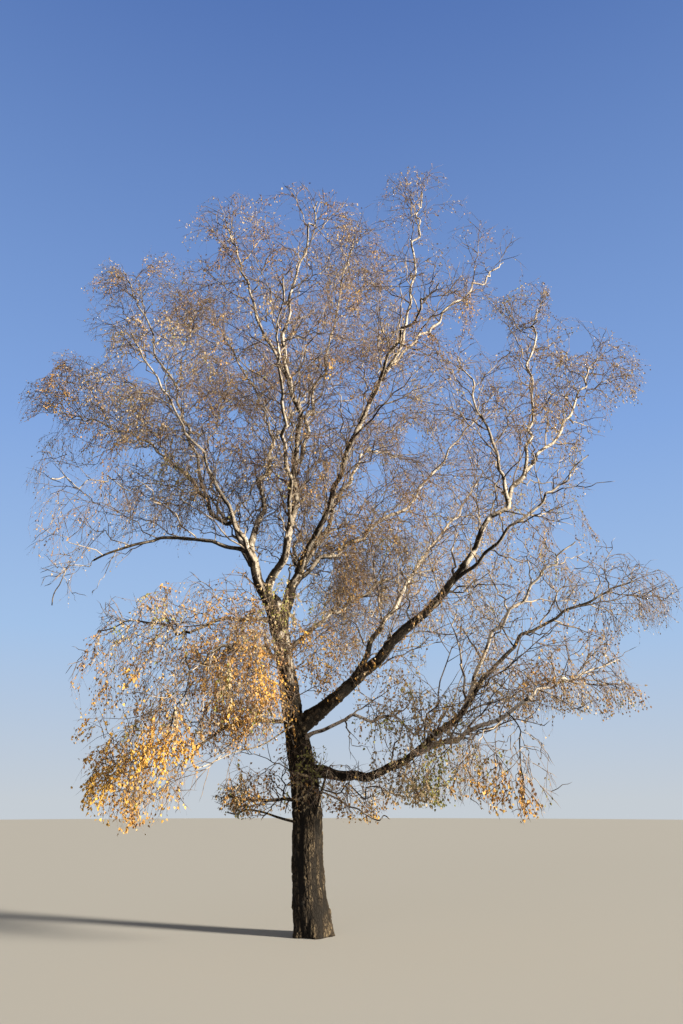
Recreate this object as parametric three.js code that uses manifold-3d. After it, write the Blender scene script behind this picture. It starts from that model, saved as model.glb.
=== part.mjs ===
import * as THREE from 'three';
import { mergeVertices } from 'three/addons/utils/BufferGeometryUtils.js';
import Module from 'manifold-3d';

const wasm = await Module();
wasm.setup();

// A silver birch in late autumn. Millimetres, +Z up, -Y is its front, +X its right.
// The origin is the middle of the flat cut at ground level.

// Trunk: height of each ring, its lean along X, its radius.
const TRUNK_RINGS = [
  [0, 0, 262],
  [110, -5, 246],
  [300, -25, 232],
  [680, -75, 211],
  [1320, -85, 197],
  [1760, -125, 191],
  [2220, -200, 172],
  [2600, -285, 140],
  [3200, -390, 126],
  [3800, -500, 122],
  [4150, -565, 108],
  [4400, -600, 45],
];
const TRUNK_HEIGHT = 4400;
const TRUNK_SIDES = 16;

// Root flare: lobes round the foot, their depth as a share of the radius, and how high they fade out.
const FLARE_LOBES = 5;
const FLARE_DEPTH = 0.13;
const FLARE_HEIGHT = 420;

// Clearance between touching solids, with what the facets of a round limb take back.
const CLEARANCE = 0.35;

// Limbs: parent, share of the way along it, tip, bow upwards, sway sideways, radius at root and tip.
const LIMBS = {
  west_stem: ['trunk', 0.875, [-1020, -200, 5060], 0, 0, 93, 67],
  west_arm: ['west_stem', 0.93, [-3130, -500, 4740], 270, 10, 32, 15],
  west_rise: ['west_stem', 0.99, [-1990, 400, 6320], -20, 0, 42, 24],
  west_mid: ['west_stem', 0.82, [-1510, -560, 6000], 20, 0, 38, 24],
  west_inner: ['west_stem', 0.9, [-790, 1100, 7350], -20, 0, 47, 25],
  back_west_bough: ['west_stem', 0.7, [-1750, 1750, 6300], 60, 0, 38, 23],
  centre_stem: ['west_stem', 0.42, [-500, -900, 7720], -40, -350, 60, 30],
  centre_fork: ['centre_stem', 0.532, [120, 900, 8990], -10, -40, 34, 22],
  front_bough: ['centre_stem', 0.3, [-420, -1950, 6700], 60, 0, 34, 20],
  east_stem: ['trunk', 0.875, [-260, 100, 4750], 0, 0, 86, 68],
  high_bough: ['east_stem', 0.98, [1320, -600, 8250], 50, 60, 50, 25],
  back_bough: ['east_stem', 0.93, [640, 1800, 7190], -30, -20, 40, 26],
  back_east_bough: ['east_stem', 0.8, [1660, 2000, 6600], 0, -60, 36, 25],
  rear_mid: ['east_stem', 0.62, [-350, 1950, 6000], 50, 0, 38, 23],
  east_bough: ['trunk', 0.57, [2010, -850, 4570], -120, -50, 102, 44],
  east_rise: ['east_bough', 0.99, [2890, -1050, 5820], 50, 20, 40, 28],
  east_inner: ['east_bough', 0.35, [1610, 1000, 5170], 10, -70, 46, 27],
  low_east: ['trunk', 0.45, [2160, -1200, 3090], -500, -150, 74, 31],
  low_front: ['low_east', 0.6, [2490, -2100, 2690], -60, 20, 35, 19],
  rear_east: ['trunk', 0.8, [1170, 1700, 5100], 40, -90, 38, 23],
  low_west: ['trunk', 0.9, [-1640, -800, 3680], 150, 30, 34, 18],
  front_west: ['trunk', 0.78, [-1200, -1750, 3240], 110, 40, 34, 17],
  droop_west: ['trunk', 0.6, [-1440, -1200, 2180], 110, 40, 33, 16],
};
const LIMB_SIDES = 8;
const LIMB_STEP = 660;
const HEAVY_RADIUS = 70;

// Crookedness: its size as a share of the length, how fast it turns along x, y and z, and a full turn.
const WOBBLE = 0.012;
const WOBBLE_TURNS = [9, 8, 11];
const FULL_TURN = 6.3;

// Masses: bough, share of the way along it, a place that the stem passes, middle, reach, leaf colour.
const MASSES = {
  west_hang: ['west_arm', 1, [-3300, -560, 4800], [-3380, -600, 4560], [800, 720, 700], 'tan'],
  far_west: ['west_rise', 1, [-2760, 500, 7000], [-3960, 600, 7560], [940, 880, 860], 'tan'],
  west_level: ['west_rise', 0.86, [-2440, -300, 6000], [-3100, -900, 5800], [860, 800, 640], 'tan'],
  west_front: ['west_mid', 1, [-1750, -1200, 6400], [-2100, -1900, 6900], [860, 860, 860], 'russet'],
  northwest: ['west_rise', 0.74, [-2250, 500, 7600], [-3000, 300, 9300], [960, 900, 980], 'russet'],
  upper_west: ['west_inner', 1, [-1150, 1200, 8300], [-1750, 1200, 9450], [920, 860, 920], 'russet'],
  inner_back: ['west_inner', 0.86, [-700, 1900, 8000], [-300, 2500, 9000], [1100, 940, 1000], 'tan'],
  top_west: ['centre_stem', 0.86, [-900, -900, 8500], [-1330, -800, 9820], [800, 860, 800], 'russet'],
  top_mid: ['centre_stem', 1, [-450, -1200, 8400], [-150, -1600, 9350], [760, 820, 720], 'russet'],
  top_centre: ['centre_fork', 1, [250, 800, 9600], [450, 600, 10450], [880, 900, 860], 'tan'],
  apex: ['high_bough', 1, [1500, -520, 9400], [1640, -500, 10560], [800, 820, 820], 'tan'],
  top_east: ['high_bough', 0.85, [1800, -100, 8800], [2800, 300, 10000], [900, 900, 860], 'tan'],
  front_high: ['high_bough', 0.7, [1150, -1400, 7700], [1400, -2200, 7700], [860, 820, 860], 'russet'],
  front_mid: ['front_bough', 1, [-450, -2300, 7000], [-400, -2700, 7200], [860, 800, 860], 'russet'],
  back_mid: ['back_bough', 1, [800, 2300, 7700], [1200, 2900, 7900], [960, 860, 940], 'tan'],
  back_east: ['back_east_bough', 1, [2100, 2200, 7300], [2800, 2100, 8200], [920, 880, 920], 'tan'],
  east_high: ['east_rise', 1, [3100, -900, 6900], [3350, -600, 8350], [760, 800, 740], 'gold'],
  east_far: ['east_rise', 0.86, [3400, -800, 6500], [4080, -450, 7640], [780, 800, 820], 'gold'],
  east_left: ['east_rise', 0.7, [2500, -1150, 6200], [2200, -1300, 6950], [780, 780, 760], 'tan'],
  east_hang: ['east_bough', 0.9, [2650, -1250, 5000], [3200, -1450, 5500], [800, 760, 760], 'tan'],
  inner_east: ['east_inner', 1, [2000, 1300, 5700], [2400, 1500, 6300], [960, 940, 900], 'tan'],
  far_east: ['low_east', 1, [2900, -950, 3700], [4020, -500, 4300], [860, 820, 760], 'tan'],
  mid_east: ['low_east', 0.86, [2250, -1500, 3600], [2850, -1850, 4200], [740, 740, 640], 'tan'],
  low_far_east: ['low_front', 1, [2800, -2050, 2850], [3150, -1950, 2980], [740, 680, 500], 'tan'],
  low_hang_east: ['low_front', 0.82, [2250, -2150, 2400], [2260, -2200, 1940], [600, 560, 460], 'gold'],
  rear_far: ['rear_east', 1, [1800, 2000, 5150], [2350, 2300, 4900], [900, 860, 800], 'tan'],
  rear_low: ['rear_east', 0.8, [850, 2000, 4600], [600, 2600, 4700], [900, 860, 820], 'gold'],
  back_west: ['back_west_bough', 1, [-2000, 2100, 6700], [-2500, 2300, 6700], [960, 900, 1350], 'tan'],
  back_centre: ['rear_mid', 1, [-500, 2500, 6400], [-500, 3000, 6800], [960, 860, 980], 'russet'],
  cloud_west: ['low_west', 1, [-1850, -900, 3720], [-2080, -950, 3700], [960, 800, 620], 'gold'],
  gold_west: ['front_west', 1, [-1350, -1950, 3100], [-1420, -2100, 2750], [760, 700, 600], 'gold'],
  gold_low: ['droop_west', 1, [-1700, -1300, 2200], [-1980, -1350, 2060], [640, 640, 640], 'gold'],
  under_east: ['trunk', 0.53, [500, -600, 2640], [1180, -1100, 2450], [760, 620, 420], 'gold'],
  leader_tuft: ['trunk', 0.72, [-560, -420, 3280], [-640, -700, 3160], [520, 460, 620], 'gold'],
  low_tuft_west: ['trunk', 0.36, [-420, -320, 1620], [-740, -480, 1640], [520, 480, 330], 'gold'],
  low_tuft_east: ['trunk', 0.4, [220, -360, 1740], [560, -560, 1700], [560, 480, 330], 'gold'],
};

// Stem of a mass: where it leaves the tip of a bough, its girth beside the bough's, the thickest bough
// that counts, how far it runs past the middle of its space, and its end.
const STEM_START = 0.985;
const STEM_GIRTH = 0.82;
const STEM_LIMIT = 30;
const STEM_SHARE = 0.74;
const STEM_END_RADIUS = 11;
const STEM_SIDES = 4;
const STEM_STEPS = 4;

// Branches of a mass: how many, where the first and last leave, how wide they spread at the foot and at
// the end of the stem, how far they hang, and their length beside the sum of the reaches.
const BRANCHES = 6;
const ENTRY_EDGE = 0.97;
const LAST_BRANCH = 0.98;
const FOOT_SPREAD = 1.45;
const END_SPREAD = 0.55;
const GOLDEN_ANGLE = 2.399963;
const BRANCH_HANG = 0.05;
const BRANCH_REACH = 0.37;
const BRANCH_RADIUS = 12;
const BRANCH_SHARE = 0.5;
const SHORTEST_BRANCH = 300;

// The search for free runs: step, turns tried, how far apart tips still count, and the least gain.
const RUN_STEP = 50;
const TURNS = 7;
const TIP_ROOM = 420;
const LEAST_GAIN = 1.1;

// Sprays of leaves on side twigs: how many, place along the branch, angle, length, and how far they hang.
const SPRAYS = 5;
const SPRAY_PLACE = 0.36;
const SPRAY_SPREAD = 0.85;
const LONGEST_SPRAY = 640;
const SHORTEST_SPRAY = 240;
const STALK_RADIUS = 4.5;
const HANG = 0.5;

// A spray's blade: length, width and thickness, its widest place and its neck from the tip in blade
// lengths, and the neck's girth. A twig whose neck would come too near its root has none.
const BLADE_LENGTH = 300;
const BLADE_WIDTH = 150;
const BLADE_THICKNESS = 9;
const WIDEST_PLACE = 0.55;
const NECK_PLACE = 1.15;
const NECK_SHARE = 0.8;
const LEAST_NECK = 0.4;

// Room that twigs and leaves keep from limbs, from the edge of a neighbour's space and from the ground.
const LIMB_ROOM = 28;
const SPACE_ROOM = 0.06;
const GROUND_ROOM = 60;
const OBSTACLE_PIECES = 12;

const BARK_COLOUR = '#54493f';
const PALE_BARK_COLOUR = '#cfc7ba';
const LEAF_COLOURS = { tan: '#8d6a4c', russet: '#a36a35', gold: '#c99a3c' };

// A fixed number between 0 and 1 for each pair of seeds.
function chance(a, b) {
  const wave = Math.sin(a * 127.1 + b * 311.7) * 43758.5453;
  return wave - Math.floor(wave);
}

// The trunk's lean and radius at a height.
function trunkRing(height) {
  const last = TRUNK_RINGS.length - 1;
  let i = 0;
  while (i < last - 1 && TRUNK_RINGS[i + 1][0] < height) i += 1;
  const [low, high] = [TRUNK_RINGS[i], TRUNK_RINGS[i + 1]];
  const share = (height - low[0]) / (high[0] - low[0]);
  return { lean: low[1] + share * (high[1] - low[1]), radius: low[2] + share * (high[2] - low[2]) };
}

// The trunk's middle line, as a path that limbs can leave from.
const trunkPath = {
  point: (share) => new THREE.Vector3(trunkRing(share * TRUNK_HEIGHT).lean, 0, share * TRUNK_HEIGHT),
  radius: (share) => trunkRing(share * TRUNK_HEIGHT).radius,
};

// A curved path between two places, bowed and swayed at its middle, with a slight crookedness.
function limbPath(start, tip, bow, sway, rootRadius, tipRadius, seed) {
  const along = tip.clone().sub(start);
  const flat = Math.hypot(along.x, along.y) + 1;
  const pull = new THREE.Vector3((sway * along.y) / flat, (-sway * along.x) / flat, bow);
  const control = start.clone().add(tip).multiplyScalar(0.5).addScaledVector(pull, 2);
  const curve = new THREE.QuadraticBezierCurve3(start, control, tip);
  const size = WOBBLE * along.length();
  const point = (share) => {
    const swing = size * Math.sin(Math.PI * share);
    const swings = WOBBLE_TURNS.map((turns, axis) => {
      const start = FULL_TURN * chance(seed, axis + 1);
      return swing * Math.sin(turns * share + start);
    });
    return curve.getPoint(share).add(new THREE.Vector3(...swings));
  };
  const radius = (share) => rootRadius + share * (tipRadius - rootRadius);
  return { point, radius, length: along.length() };
}

// The direction in which a path runs at a share of its length.
function heading(path, share) {
  const before = path.point(Math.max(0, share - 0.01));
  return path.point(Math.min(1, share + 0.01)).sub(before).normalize();
}

// Bends an upright cylinder or cone of height 1 along a path, keeping its sections square to it.
// Its ends reach past the path by grow.
function bend(geometry, path, grow) {
  const positions = geometry.attributes.position;
  const chord = path.point(1).sub(path.point(0));
  const upright = Math.abs(chord.z) > 0.75 * chord.length();
  const reference = upright ? new THREE.Vector3(1, 0, 0) : new THREE.Vector3(0, 0, 1);
  for (let i = 0; i < positions.count; i += 1) {
    const share = positions.getY(i) + 0.5;
    const ahead = heading(path, share);
    const across = new THREE.Vector3().crossVectors(reference, ahead).normalize();
    const over = new THREE.Vector3().crossVectors(ahead, across);
    const end = Number(share === 1) - Number(share === 0);
    const place = path.point(share).addScaledVector(ahead, grow * end);
    place.addScaledVector(over, positions.getX(i)).addScaledVector(across, positions.getZ(i));
    positions.setXYZ(i, place.x, place.y, place.z);
  }
  return geometry;
}

// Turns a closed three.js geometry into a solid that can be joined and cut.
function solidOf(geometry) {
  geometry.deleteAttribute('normal');
  geometry.deleteAttribute('uv');
  const merged = mergeVertices(geometry, 1e-3);
  const vertProperties = new Float32Array(merged.attributes.position.array);
  const triVerts = new Uint32Array(merged.index.array);
  return new wasm.Manifold(new wasm.Mesh({ numProp: 3, vertProperties, triVerts }));
}

// Turns a solid back into a geometry, flat shaded.
function geometryOf(solid) {
  const mesh = solid.getMesh();
  const geometry = new THREE.BufferGeometry();
  geometry.setAttribute('position', new THREE.BufferAttribute(mesh.vertProperties, 3));
  geometry.setIndex(new THREE.BufferAttribute(mesh.triVerts, 1));
  geometry.computeVertexNormals();
  return geometry;
}

// A tapering limb along a path, wider by grow all round when it is used to cut its neighbours.
function limbSolid(path, grow) {
  const steps = Math.max(2, Math.round(path.length / LIMB_STEP));
  const [rootRadius, tipRadius] = [path.radius(0) + grow, path.radius(1) + grow];
  const shape = new THREE.CylinderGeometry(tipRadius, rootRadius, 1, LIMB_SIDES, steps);
  return solidOf(bend(shape, path, grow));
}

// The trunk: level rings on its lean, lobed at the foot, and flat at ground level.
function trunkSolid(grow) {
  const steps = TRUNK_RINGS.length - 1;
  const shape = new THREE.CylinderGeometry(1, 1, 1, TRUNK_SIDES, steps);
  const positions = shape.attributes.position;
  for (let i = 0; i < positions.count; i += 1) {
    const ring = Math.round((positions.getY(i) + 0.5) * steps);
    const [height, lean, radius] = TRUNK_RINGS[ring];
    const angle = Math.atan2(positions.getZ(i), positions.getX(i));
    const fade = Math.max(0, 1 - height / FLARE_HEIGHT);
    const reach = radius * (1 + FLARE_DEPTH * fade * fade * Math.cos(FLARE_LOBES * angle)) + grow;
    positions.setXYZ(i, lean + positions.getX(i) * reach, -positions.getZ(i) * reach, height);
  }
  return solidOf(shape);
}

// The rings of a twig that ends in a blade of leaves: distance along it, half width, half thickness.
function twigRings(length, radius) {
  const widest = length - WIDEST_PLACE * BLADE_LENGTH;
  const neck = length - NECK_PLACE * BLADE_LENGTH;
  const rings = [[0, radius, radius], [widest, BLADE_WIDTH / 2, BLADE_THICKNESS / 2], [length, 0, 0]];
  const girth = NECK_SHARE * radius;
  if (neck > LEAST_NECK * length) rings.splice(1, 0, [neck, girth, girth]);
  return rings;
}

// A three-sided twig between two places, that ends in a pointed blade standing for a spray of leaves.
function twigSolid({ root, tip, radius }) {
  const direction = tip.clone().sub(root).normalize();
  const side = bladeSide(direction);
  const face = new THREE.Vector3().crossVectors(side, direction);
  const rings = twigRings(root.distanceTo(tip), radius);
  const last = rings.length - 1;
  const shape = new THREE.ConeGeometry(1, 1, 3, last);
  const positions = shape.attributes.position;
  for (let i = 0; i < positions.count; i += 1) {
    const ring = Math.round((positions.getY(i) + 0.5) * last);
    const [distance, halfWidth, halfThickness] = rings[ring];
    const full = ring === last ? 1 : last / (last - ring);
    const place = root.clone().addScaledVector(direction, distance);
    place.addScaledVector(side, positions.getX(i) * full * halfWidth);
    place.addScaledVector(face, positions.getZ(i) * full * halfThickness);
    positions.setXYZ(i, place.x, place.y, place.z);
  }
  return solidOf(shape);
}

// The direction across a blade that runs in a direction.
function bladeSide(direction) {
  return new THREE.Vector3(-direction.y, direction.x, 0.15).cross(direction).cross(direction).normalize();
}

// The paths of all the limbs, each from a place on its parent.
function limbPaths() {
  const paths = { trunk: trunkPath };
  Object.entries(LIMBS).forEach(([name, row], index) => {
    const [parent, share, tip, bow, sway, rootRadius, tipRadius] = row;
    const start = paths[parent].point(share);
    const end = new THREE.Vector3(...tip);
    paths[name] = limbPath(start, end, bow, sway, rootRadius, tipRadius, index);
  });
  return paths;
}

// The path of a mass's stem: from its bough, past a chosen place, to the far side of its space.
function stemPath(bough, row) {
  const [, share, passing, middle, reach] = row;
  const root = bough.point(share === 1 ? STEM_START : share);
  const via = new THREE.Vector3(...passing);
  const centre = new THREE.Vector3(...middle);
  const out = centre.clone().sub(via).normalize();
  const depth = STEM_SHARE / Math.hypot(out.x / reach[0], out.y / reach[1], out.z / reach[2]);
  const tip = centre.clone().addScaledVector(out, depth);
  const curve = new THREE.CatmullRomCurve3([root, via, centre, tip], false, 'catmullrom', 0.5);
  const rootRadius = STEM_GIRTH * Math.min(bough.radius(share), STEM_LIMIT);
  const radius = (along) => rootRadius + along * (STEM_END_RADIUS - rootRadius);
  return { point: (along) => curve.getPoint(along), radius, length: curve.getLength() };
}

// Whether a place is inside a mass's own space, nearer to it than to any other, clear of limbs and stems.
function fits(place, mass, tree) {
  const own = spaceShare(place, mass);
  if (own > 1 || place.z < GROUND_ROOM) return false;
  for (const other of tree.masses) {
    if (other !== mass && spaceShare(place, other) < own + SPACE_ROOM) return false;
  }
  return tree.obstacles.every((limb) => limb.owner === mass.name || clearOf(place, limb));
}

// How far out a place is in a mass's space: 0 at the middle, 1 at the edge.
function spaceShare(place, mass) {
  const [x, y, z] = [place.x - mass.middle[0], place.y - mass.middle[1], place.z - mass.middle[2]];
  return Math.hypot(x / mass.reach[0], y / mass.reach[1], z / mass.reach[2]);
}

// Whether a place keeps its room from a limb, taken as a row of short straight pieces.
function clearOf(place, limb) {
  const nearest = new THREE.Vector3();
  return limb.pieces.every(({ line, radius }) => {
    line.closestPointToPoint(place, true, nearest);
    return nearest.distanceTo(place) > radius + LIMB_ROOM;
  });
}

// A limb or stem as short straight pieces, each with its widest radius.
function obstacle(owner, path) {
  const pieces = [];
  for (let i = 0; i < OBSTACLE_PIECES; i += 1) {
    const [from, to] = [i / OBSTACLE_PIECES, (i + 1) / OBSTACLE_PIECES];
    pieces.push({ line: new THREE.Line3(path.point(from), path.point(to)), radius: path.radius(from) });
  }
  return { owner, pieces };
}

// A direction that leaves another at an angle, turned round it, and drawn down by a hang.
function leave(ahead, angle, turn, hang) {
  const across = new THREE.Vector3().crossVectors(ahead, new THREE.Vector3(0.1, 0.2, 1)).normalize();
  const over = new THREE.Vector3().crossVectors(ahead, across);
  const side = across.multiplyScalar(Math.cos(turn)).addScaledVector(over, Math.sin(turn));
  const direction = ahead.clone().multiplyScalar(Math.cos(angle)).addScaledVector(side, Math.sin(angle));
  direction.z -= hang;
  return direction.normalize();
}

// The farthest place from a root in a direction that still fits, up to a limit.
function farthest(root, direction, limit, mass, tree) {
  let length = 0;
  const reaches = (far) => fits(root.clone().addScaledVector(direction, far), mass, tree);
  while (length < limit && reaches(length + RUN_STEP)) length += RUN_STEP;
  return root.clone().addScaledVector(direction, length);
}

// The best of a few runs from a root, turned round its parent by steps of the golden angle:
// the longer the better, and the farther its tip is from those of the mass's other twigs.
function bestRun(root, ahead, way, others, mass, tree) {
  let best = null;
  let bestWorth = 0;
  for (let i = 0; i < TURNS; i += 1) {
    const direction = leave(ahead, way.spread, way.turn + i * GOLDEN_ANGLE, way.hang);
    const tip = farthest(root, direction, way.longest, mass, tree);
    const nearest = Math.min(TIP_ROOM, ...others.map((other) => other.tip.distanceTo(tip)));
    const worth = tip.distanceTo(root) * nearest;
    if (tip.distanceTo(root) < way.shortest || worth < LEAST_GAIN * bestWorth) continue;
    if (!bladeFits(root, tip, mass, tree)) continue;
    best = { root, tip };
    bestWorth = worth;
  }
  return best;
}

// Whether both edges of the blade at the end of a run fit.
function bladeFits(root, tip, mass, tree) {
  const direction = tip.clone().sub(root).normalize();
  const widest = tip.clone().addScaledVector(direction, -WIDEST_PLACE * BLADE_LENGTH);
  const edge = (way) => widest.clone().addScaledVector(bladeSide(direction), (way * BLADE_WIDTH) / 2);
  return fits(edge(1), mass, tree) && fits(edge(-1), mass, tree);
}

// The branches of a mass: off its stem by the golden angle, wide at the foot and narrow at the end.
function massBranches(mass, tree) {
  const longest = BRANCH_REACH * (mass.reach[0] + mass.reach[1] + mass.reach[2]);
  const branches = [];
  for (let i = 0; i < BRANCHES; i += 1) {
    const rise = (i + 0.5) / BRANCHES;
    const share = mass.entry + (LAST_BRANCH - mass.entry) * rise;
    const spread = FOOT_SPREAD + (END_SPREAD - FOOT_SPREAD) * rise;
    const turn = GOLDEN_ANGLE * i + FULL_TURN * chance(mass.seed, 4);
    const way = { spread, turn, hang: BRANCH_HANG, longest, shortest: SHORTEST_BRANCH };
    const run = bestRun(mass.stem.point(share), heading(mass.stem, share), way, branches, mass, tree);
    const radius = Math.min(BRANCH_RADIUS, BRANCH_SHARE * mass.stem.radius(share));
    if (run) branches.push({ ...run, radius });
  }
  return branches;
}

// The sprays of a mass: one hangs on a stalk from each of its longest branches, where it fits.
function massSprays(mass, branches, tree) {
  const sprays = [];
  const span = (branch) => branch.root.distanceTo(branch.tip);
  const longest = branches.slice().sort((one, other) => span(other) - span(one)).slice(0, SPRAYS);
  for (const [index, branch] of longest.entries()) {
    const root = branch.root.clone().lerp(branch.tip, SPRAY_PLACE);
    const ahead = branch.tip.clone().sub(branch.root).normalize();
    const turn = FULL_TURN * chance(mass.seed + index, 5);
    const limit = LONGEST_SPRAY * (0.8 + 0.2 * chance(mass.seed + index, 6));
    const way = { spread: SPRAY_SPREAD, turn, hang: HANG, longest: limit, shortest: SHORTEST_SPRAY };
    const run = bestRun(root, ahead, way, [...branches, ...sprays], mass, tree);
    if (run) sprays.push({ ...run, radius: STALK_RADIUS });
  }
  return sprays;
}

// The solid of a mass: stem, branches and sprays in one body.
function massSolid(mass, tree) {
  const branches = massBranches(mass, tree);
  const twigs = [...branches, ...massSprays(mass, branches, tree)];
  return wasm.Manifold.union([stemSolid(mass, 0), ...twigs.map(twigSolid)]);
}

// The stem of a mass, wider by grow when it cuts its neighbours.
function stemSolid(mass, grow) {
  const [rootRadius, tipRadius] = [mass.stem.radius(0) + grow, STEM_END_RADIUS + grow];
  const shape = new THREE.CylinderGeometry(tipRadius, rootRadius, 1, STEM_SIDES, STEM_STEPS);
  return solidOf(bend(shape, mass.stem, grow));
}

// Whether the boxes of two solids meet.
function boxesMeet(one, other) {
  const [a, b] = [one.boundingBox(), other.boundingBox()];
  return [0, 1, 2].every((k) => a.min[k] <= b.max[k] && b.min[k] <= a.max[k]);
}

// Cuts a solid clear of the earlier ones that it meets, and keeps its largest body.
function cutClear(solid, cutters) {
  const near = cutters.filter((cutter) => boxesMeet(solid, cutter));
  const cut = near.length ? solid.subtract(wasm.Manifold.union(near)) : solid;
  const bodies = cut.decompose();
  return bodies.reduce((best, body) => (body.volume() > best.volume() ? body : best));
}

// The share of a stem's length at which it enters its own space.
function entryShare(stem, mass) {
  let share = 0;
  while (share < 0.9 && spaceShare(stem.point(share), mass) > ENTRY_EDGE) share += 0.02;
  return share;
}

// Every mass with its stem, and every limb and stem as an obstacle for twigs and leaves.
function treeOf(paths) {
  const obstacles = Object.entries(paths).map(([name, path]) => obstacle(name, path));
  const masses = Object.entries(MASSES).map(([name, row], index) => {
    const [bough, , , middle, reach, leaf] = row;
    const mass = { name, bough, middle, reach, leaf, seed: 17 * index + 3 };
    mass.stem = stemPath(paths[bough], row);
    mass.entry = entryShare(mass.stem, mass);
    obstacles.push(obstacle(name, mass.stem));
    return mass;
  });
  return { masses, obstacles };
}

// A named mesh of one colour for a solid.
function node(name, solid, colour, roughness) {
  const material = new THREE.MeshStandardMaterial({ color: colour, roughness, metalness: 0 });
  const mesh = new THREE.Mesh(geometryOf(solid), material);
  mesh.name = name;
  return mesh;
}

const paths = limbPaths();
const tree = treeOf(paths);
const birch = new THREE.Group();
const cutters = [trunkSolid(CLEARANCE)];
birch.add(node('trunk', trunkSolid(0), BARK_COLOUR, 0.95));

for (const name of Object.keys(LIMBS)) {
  const colour = paths[name].radius(0) > HEAVY_RADIUS ? BARK_COLOUR : PALE_BARK_COLOUR;
  birch.add(node(name, cutClear(limbSolid(paths[name], 0), cutters), colour, 0.8));
  cutters.push(limbSolid(paths[name], CLEARANCE));
}

for (const mass of tree.masses) {
  birch.add(node(mass.name, cutClear(massSolid(mass, tree), cutters), LEAF_COLOURS[mass.leaf], 0.9));
  cutters.push(stemSolid(mass, CLEARANCE));
}

export default birch;
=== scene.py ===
"""A silver birch in late autumn: fissured trunk, pale boughs, fine hanging twigs and sparse leaves, in metres."""

import math

import bpy
import numpy as np
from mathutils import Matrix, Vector


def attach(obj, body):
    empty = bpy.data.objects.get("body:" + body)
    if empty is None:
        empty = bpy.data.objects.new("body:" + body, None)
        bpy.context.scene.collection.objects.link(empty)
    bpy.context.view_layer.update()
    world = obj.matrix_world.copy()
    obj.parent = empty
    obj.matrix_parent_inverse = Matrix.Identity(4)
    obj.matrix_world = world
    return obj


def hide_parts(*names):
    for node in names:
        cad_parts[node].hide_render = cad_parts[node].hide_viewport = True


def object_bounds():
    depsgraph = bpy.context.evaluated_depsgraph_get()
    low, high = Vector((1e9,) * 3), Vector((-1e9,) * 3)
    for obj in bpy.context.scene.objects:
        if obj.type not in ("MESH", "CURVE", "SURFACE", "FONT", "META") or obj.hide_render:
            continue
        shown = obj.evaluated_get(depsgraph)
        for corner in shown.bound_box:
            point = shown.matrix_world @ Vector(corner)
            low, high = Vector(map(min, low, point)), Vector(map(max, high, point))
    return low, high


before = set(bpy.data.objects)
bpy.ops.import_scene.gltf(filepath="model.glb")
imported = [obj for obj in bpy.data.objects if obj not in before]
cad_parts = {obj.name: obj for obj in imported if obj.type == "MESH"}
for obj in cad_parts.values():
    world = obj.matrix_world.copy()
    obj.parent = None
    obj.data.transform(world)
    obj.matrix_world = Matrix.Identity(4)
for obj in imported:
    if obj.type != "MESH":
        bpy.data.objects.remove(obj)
cad_box = [list(corner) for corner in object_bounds()]

# Trunk: height of each ring, its lean along X, its radius
TRUNK_RINGS = np.array([
    (0, 0, 0.262), (0.11, -0.005, 0.246), (0.3, -0.025, 0.232), (0.68, -0.075, 0.211),
    (1.32, -0.085, 0.197), (1.76, -0.125, 0.191), (2.22, -0.2, 0.172), (2.6, -0.285, 0.14),
    (3.2, -0.39, 0.126), (3.8, -0.5, 0.122), (4.15, -0.565, 0.108), (4.4, -0.6, 0.045),
])
TRUNK_HEIGHT = 4.4
FLARE_LOBES = 5
FLARE_DEPTH = 0.13
FLARE_HEIGHT = 0.42

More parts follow.
